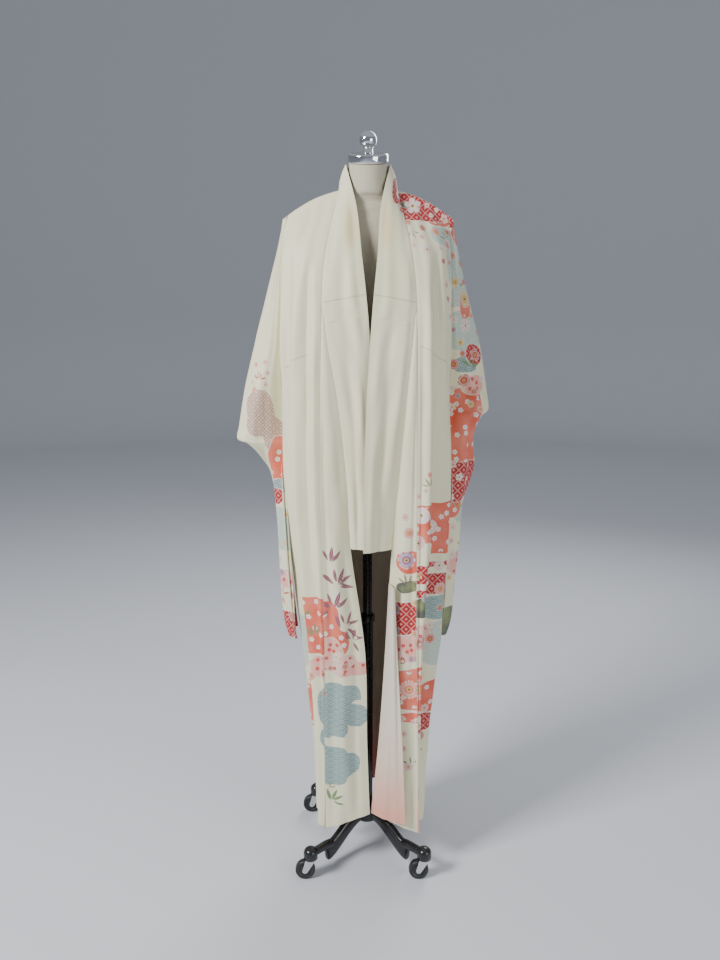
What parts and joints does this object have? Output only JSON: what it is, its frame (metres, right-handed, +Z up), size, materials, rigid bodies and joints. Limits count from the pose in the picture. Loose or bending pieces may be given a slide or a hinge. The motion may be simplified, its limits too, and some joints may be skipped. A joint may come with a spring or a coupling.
{
  "type": "furisode kimono on a dress form",
  "caption": "Long-sleeved silk furisode hanging open on a limbless linen dress form with a chrome cap, a height-adjustable pole and a wheeled black base.",
  "frame": {"origin": "on the floor under the middle of the whole; the pole stands 13.2 mm from it towards +X", "axes": "+Z up, -Y towards the garment's open front, +X to the left of a wearer (the viewer's right)"},
  "size_m": [0.6332, 0.326, 1.84],
  "materials": {
    "silk": "soft silk crepe with printed and dyed flowers",
    "lining": "plain silk lining, pink towards the hem",
    "linen": "plain linen cover",
    "chrome": "polished",
    "black_paint": "satin black",
    "black_plastic": "black nylon",
    "fork_steel": "plated"
  },
  "bodies": {
    "stand": {"base": "black_paint", "lower_tube": "black_paint", "height_collar": "black_plastic"},
    "dressed_form": {"mast": "black_paint", "form": "linen", "neck_cap": "chrome", "finial": "chrome", "back_right": "silk", "back_left": "silk", "front_right": "silk", "front_left": "silk", "overlap_right": "silk", "overlap_left": "silk", "overlap_left_turned": "silk", "turned_lining": "lining", "over_collar": "silk", "collar_right": "silk", "collar_left": "silk", "sleeve_right_front": "silk", "sleeve_right_back": "silk", "sleeve_left_front": "silk", "sleeve_left_back": "silk"},
    "fork_front_right": {"caster_fork_front_right": "fork_steel"},
    "wheel_front_right": {"caster_wheel_front_right": "black_plastic"},
    "fork_front_left": {"caster_fork_front_left": "fork_steel"},
    "wheel_front_left": {"caster_wheel_front_left": "black_plastic"},
    "fork_back_left": {"caster_fork_back_left": "fork_steel"},
    "wheel_back_left": {"caster_wheel_back_left": "black_plastic"},
    "fork_back_right": {"caster_fork_back_right": "fork_steel"},
    "wheel_back_right": {"caster_wheel_back_right": "black_plastic"}
  },
  "joints": [
    {"name": "height", "type": "slide", "parent": "stand", "child": "dressed_form", "axis": [0, 0, 1], "range_m": [0, 0.15]},
    {"name": "swivel_front_right", "type": "hinge", "parent": "stand", "child": "fork_front_right", "pos_m": [-0.13177, -0.14496, 0.05], "axis": [0, 0, 1], "continuous": true},
    {"name": "swivel_front_left", "type": "hinge", "parent": "stand", "child": "fork_front_left", "pos_m": [0.15814, -0.14496, 0.05], "axis": [0, 0, 1], "continuous": true},
    {"name": "swivel_back_left", "type": "hinge", "parent": "stand", "child": "fork_back_left", "pos_m": [0.15814, 0.14496, 0.05], "axis": [0, 0, 1], "continuous": true},
    {"name": "swivel_back_right", "type": "hinge", "parent": "stand", "child": "fork_back_right", "pos_m": [-0.13177, 0.14496, 0.05], "axis": [0, 0, 1], "continuous": true},
    {"name": "spin_front_right", "type": "hinge", "parent": "fork_front_right", "child": "wheel_front_right", "pos_m": [-0.14577, -0.14496, 0.025], "axis": [0, 1, 0], "continuous": true},
    {"name": "spin_front_left", "type": "hinge", "parent": "fork_front_left", "child": "wheel_front_left", "pos_m": [0.14414, -0.14496, 0.025], "axis": [0, 1, 0], "continuous": true},
    {"name": "spin_back_left", "type": "hinge", "parent": "fork_back_left", "child": "wheel_back_left", "pos_m": [0.14414, 0.14496, 0.025], "axis": [0, 1, 0], "continuous": true},
    {"name": "spin_back_right", "type": "hinge", "parent": "fork_back_right", "child": "wheel_back_right", "pos_m": [-0.14577, 0.14496, 0.025], "axis": [0, 1, 0], "continuous": true}
  ]
}
